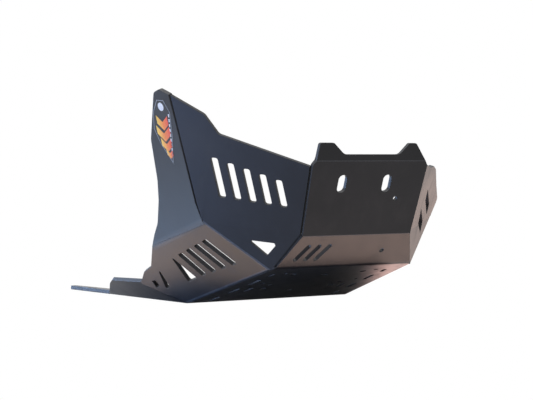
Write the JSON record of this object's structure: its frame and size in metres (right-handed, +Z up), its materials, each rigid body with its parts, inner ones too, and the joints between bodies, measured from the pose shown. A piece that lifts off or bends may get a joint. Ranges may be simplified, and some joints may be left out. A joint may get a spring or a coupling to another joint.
{
  "type": "skid plate",
  "caption": "One-piece folded plastic skid plate for an off-road motorcycle, with vented sides, a high right wing and a forked tail round the linkage.",
  "frame": {"origin": "centre of the four bolts in the flat bottom, on its underside", "axes": "+X towards the front of the bike, +Y to the bike's left, +Z up, away from the ground"},
  "size_m": [0.6736, 0.4182, 0.2309],
  "materials": {
    "black_plastic": "satin sheet plastic, lightly scuffed"
  },
  "bodies": {
    "root": {"skid_plate": "black_plastic"}
  },
  "joints": []
}
